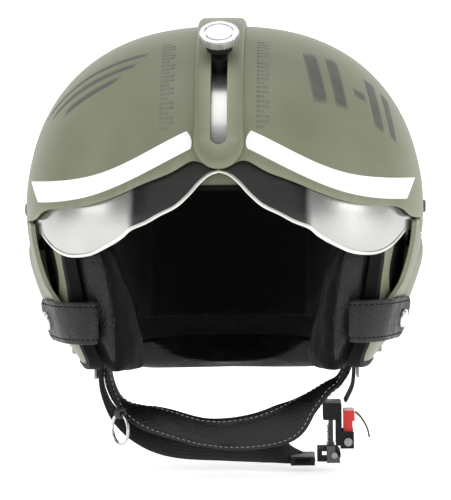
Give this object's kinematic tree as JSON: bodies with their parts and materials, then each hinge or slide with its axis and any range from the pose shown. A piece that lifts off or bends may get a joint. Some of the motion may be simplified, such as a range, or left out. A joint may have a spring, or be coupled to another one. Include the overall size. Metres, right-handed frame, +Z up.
{
  "type": "open face motorcycle helmet",
  "caption": "Open face helmet with a ridged visor cover, drop-down mirrored visor on side pivots, lock knob, side covers, leather edge straps and padded chin strap.",
  "frame": {"origin": "centre of the head cavity, midway between the two visor pivot screws, on the visor's pivot axis", "axes": "+X to the wearer's left, -Y forwards out of the face opening, +Z up to the crown"},
  "size_m": [0.2656, 0.2767, 0.2967],
  "materials": {
    "shell_paint": "matte olive paint on moulded plastic, fine grain",
    "trim_rubber": "black extruded rubber",
    "impact_foam": "black expanded bead foam",
    "comfort_cloth": "black knitted cloth over soft foam",
    "strap_leather": "black grained leather with a stitched edge",
    "chin_leather": "black padded leather with pale stitching",
    "webbing": "black ribbed woven webbing",
    "visor_mirror": "bubble visor, silver mirrored at the sides and dark smoke in the middle",
    "reflective_film": "white reflective film",
    "bright_metal": "polished, knurled on the knob",
    "plain_steel": "plain zinc plated steel",
    "black_plastic": "black moulded nylon",
    "grey_plastic": "grey moulded nylon",
    "red_plastic": "red moulded nylon"
  },
  "bodies": {
    "helmet": {"outer_shell": "shell_paint", "edge_trim": "trim_rubber", "eps_liner": "impact_foam", "comfort_liner": "comfort_cloth", "cheek_pad_left": "comfort_cloth", "cheek_pad_right": "comfort_cloth", "neck_roll": "comfort_cloth", "side_cover_left": "shell_paint", "side_cover_right": "shell_paint", "side_cover_screws": "plain_steel", "leather_fold_left": "strap_leather", "leather_fold_right": "strap_leather", "snap_stud_left": "plain_steel", "snap_stud_right": "plain_steel", "visor_cover": "shell_paint", "reflective_strip_left": "reflective_film", "reflective_strip_right": "reflective_film", "visor_bush_left": "black_plastic", "visor_bush_right": "black_plastic", "pivot_screw_left": "plain_steel", "pivot_screw_right": "plain_steel", "pivot_nut_left": "plain_steel", "pivot_nut_right": "plain_steel", "strap_rivet_left": "plain_steel", "strap_rivet_right": "plain_steel"},
    "visor_carrier": {"visor": "visor_mirror", "slider_block": "black_plastic", "knob_clamp_plate": "plain_steel", "knob_clamp_screw": "plain_steel"},
    "knob": {"lock_knob": "bright_metal"},
    "flap_left": {"leather_flap_left": "strap_leather", "snap_cap_left": "bright_metal"},
    "flap_right": {"leather_flap_right": "strap_leather", "snap_cap_right": "bright_metal"},
    "chin_strap": {"chin_webbing": "webbing", "chin_pad": "chin_leather", "buckle_strap": "webbing", "anchor_plate_left": "plain_steel", "anchor_plate_right": "plain_steel", "strap_slider": "black_plastic", "buckle_housing": "black_plastic", "lever_pin": "bright_metal", "ring_loop": "webbing"},
    "lever": {"buckle_lever": "red_plastic", "pull_tab": "strap_leather"},
    "tongue": {"ratchet_tongue": "grey_plastic", "tongue_pin": "bright_metal", "webbing_loop": "webbing"},
    "ring": {"lock_ring": "bright_metal"}
  },
  "joints": [
    {"name": "visor_swing", "type": "hinge", "parent": "helmet", "child": "visor_carrier", "pos_m": [0, 0, 0], "axis": [1, 0, 0], "range_deg": [0, 22]},
    {"name": "knob_turn", "type": "hinge", "parent": "visor_carrier", "child": "knob", "pos_m": [0, -0.08064, 0.10702], "axis": [0, -0.6018, 0.7986], "range_deg": [-180, 180]},
    {"name": "flap_left_swing", "type": "hinge", "parent": "helmet", "child": "flap_left", "pos_m": [0.10843, -0.04841, -0.072], "axis": [0.2419, 0, 0.9703], "range_deg": [-75, 0]},
    {"name": "flap_right_swing", "type": "hinge", "parent": "helmet", "child": "flap_right", "pos_m": [-0.10843, -0.04841, -0.072], "axis": [-0.2419, 0, 0.9703], "range_deg": [0, 75]},
    {"name": "chin_strap_swing", "type": "hinge", "parent": "helmet", "child": "chin_strap", "pos_m": [0, 0.006, -0.092], "axis": [1, 0, 0], "range_deg": [-20, 20]},
    {"name": "buckle_lever_lift", "type": "hinge", "parent": "chin_strap", "child": "lever", "pos_m": [0.0802, 0.006, -0.1555], "axis": [0, 1, 0], "range_deg": [0, 35], "stiffness_Nm_per_rad": 0.06, "springref_deg": -34.38},
    {"name": "tongue_ratchet", "type": "slide", "parent": "chin_strap", "child": "tongue", "axis": [0, 0, 1], "range_m": [-0.004, 0]},
    {"name": "ring_swing", "type": "hinge", "parent": "chin_strap", "child": "ring", "pos_m": [-0.07, -0.018, -0.1347], "axis": [0.5739, -0.8189, 0], "range_deg": [-35, 6]}
  ]
}
